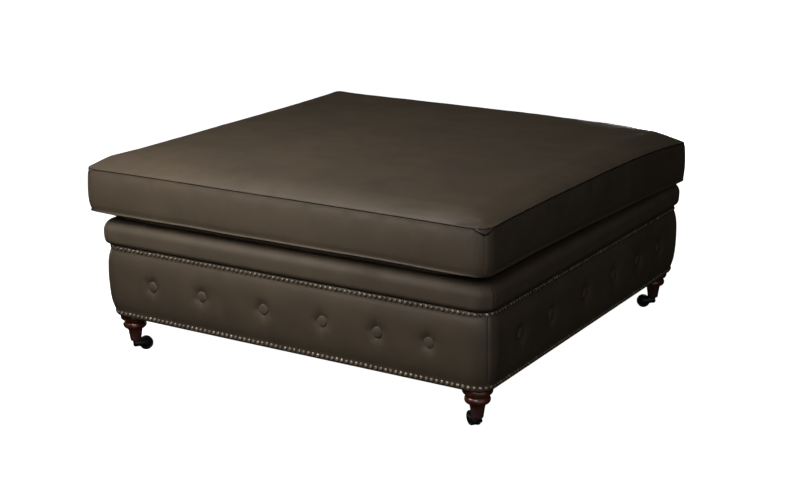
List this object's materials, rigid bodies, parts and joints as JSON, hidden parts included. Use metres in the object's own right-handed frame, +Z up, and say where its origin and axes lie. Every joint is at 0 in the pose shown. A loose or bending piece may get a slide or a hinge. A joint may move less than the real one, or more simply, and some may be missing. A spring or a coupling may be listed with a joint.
{
  "type": "tufted pouf",
  "caption": "Low square pouf with a loose boxed cushion, buttoned leather sides, nail trim and turned legs on small swivel castors.",
  "frame": {"origin": "on the floor, under the middle of the pouf", "axes": "+Z up, +X to the right seen from the front, front towards -Y"},
  "size_m": [1, 1, 0.4503],
  "materials": {
    "cushion_leather": "satin smooth dark taupe hide",
    "base_leather": "satin smooth dark taupe hide",
    "mahogany": "high gloss dark red-brown stain",
    "old_brass": "antiqued, dark in the recesses",
    "dark_metal": "black enamel",
    "black_plastic": "fine moulded black",
    "steel": "zinc plated",
    "raw_wood": "unfinished hardwood",
    "foam": "open-cell upholstery foam",
    "jute": "woven jute webbing",
    "black_cloth": "plain black lining cloth"
  },
  "bodies": {
    "base": {"deck_cloth": "black_cloth", "deck_pad": "foam", "webbing_long": "jute", "webbing_cross": "jute", "roll_cover": "base_leather", "roll_foam": "foam", "corner_posts": "raw_wood", "corner_blocks": "raw_wood", "frame_dowels": "raw_wood", "backing_boards": "raw_wood", "side_infills": "foam", "dust_cover": "black_cloth", "leg_studs": "steel", "leg_inserts": "steel", "castor_sockets": "dark_metal", "upper_rail_front": "raw_wood", "lower_rail_front": "raw_wood", "tufted_panel_front": "base_leather", "button_row_front": "base_leather", "upper_nails_front": "old_brass", "lower_nails_front": "old_brass", "upper_rail_right": "raw_wood", "lower_rail_right": "raw_wood", "tufted_panel_right": "base_leather", "button_row_right": "base_leather", "upper_nails_right": "old_brass", "lower_nails_right": "old_brass", "upper_rail_back": "raw_wood", "lower_rail_back": "raw_wood", "tufted_panel_back": "base_leather", "button_row_back": "base_leather", "upper_nails_back": "old_brass", "lower_nails_back": "old_brass", "upper_rail_left": "raw_wood", "lower_rail_left": "raw_wood", "tufted_panel_left": "base_leather", "button_row_left": "base_leather", "upper_nails_left": "old_brass", "lower_nails_left": "old_brass", "leg_front_right": "mahogany", "leg_back_right": "mahogany", "leg_back_left": "mahogany", "leg_front_left": "mahogany"},
    "cushion": {"cushion_cover": "cushion_leather", "cushion_foam": "foam", "zip_tape": "black_cloth"},
    "zip_slider": {"zip_slider": "steel"},
    "castor_front_right": {"castor_horn_front_right": "dark_metal", "castor_axle_front_right": "steel"},
    "wheel_front_right": {"castor_wheel_front_right": "black_plastic"},
    "castor_back_right": {"castor_horn_back_right": "dark_metal", "castor_axle_back_right": "steel"},
    "wheel_back_right": {"castor_wheel_back_right": "black_plastic"},
    "castor_back_left": {"castor_horn_back_left": "dark_metal", "castor_axle_back_left": "steel"},
    "wheel_back_left": {"castor_wheel_back_left": "black_plastic"},
    "castor_front_left": {"castor_horn_front_left": "dark_metal", "castor_axle_front_left": "steel"},
    "wheel_front_left": {"castor_wheel_front_left": "black_plastic"}
  },
  "joints": [
    {"name": "cushion_lift", "type": "slide", "parent": "base", "child": "cushion", "axis": [0, 0, 1], "range_m": [0, 0.25]},
    {"name": "zip_slide", "type": "slide", "parent": "cushion", "child": "zip_slider", "axis": [-1, 0, 0], "range_m": [0, 0.67]},
    {"name": "castor_swivel_front_right", "type": "hinge", "parent": "base", "child": "castor_front_right", "pos_m": [0.44, -0.44, 0.03], "axis": [0, 0, 1], "continuous": true},
    {"name": "wheel_spin_front_right", "type": "hinge", "parent": "castor_front_right", "child": "wheel_front_right", "pos_m": [0.42093, -0.42714, 0.0155], "axis": [-0.5592, -0.829, 0], "continuous": true},
    {"name": "castor_swivel_back_right", "type": "hinge", "parent": "base", "child": "castor_back_right", "pos_m": [0.44, 0.44, 0.03], "axis": [0, 0, 1], "continuous": true},
    {"name": "wheel_spin_back_right", "type": "hinge", "parent": "castor_back_right", "child": "wheel_back_right", "pos_m": [0.42188, 0.42584, 0.0155], "axis": [0.6157, -0.788, 0], "continuous": true},
    {"name": "castor_swivel_back_left", "type": "hinge", "parent": "base", "child": "castor_back_left", "pos_m": [-0.44, 0.44, 0.03], "axis": [0, 0, 1], "continuous": true},
    {"name": "wheel_spin_back_left", "type": "hinge", "parent": "castor_back_left", "child": "wheel_back_left", "pos_m": [-0.4285, 0.42008, 0.0155], "axis": [0.866, 0.5, 0], "continuous": true},
    {"name": "castor_swivel_front_left", "type": "hinge", "parent": "base", "child": "castor_front_left", "pos_m": [-0.44, -0.44, 0.03], "axis": [0, 0, 1], "continuous": true},
    {"name": "wheel_spin_front_left", "type": "hinge", "parent": "castor_front_left", "child": "wheel_front_left", "pos_m": [-0.42681, -0.42116, 0.0155], "axis": [-0.8192, 0.5736, 0], "continuous": true}
  ]
}
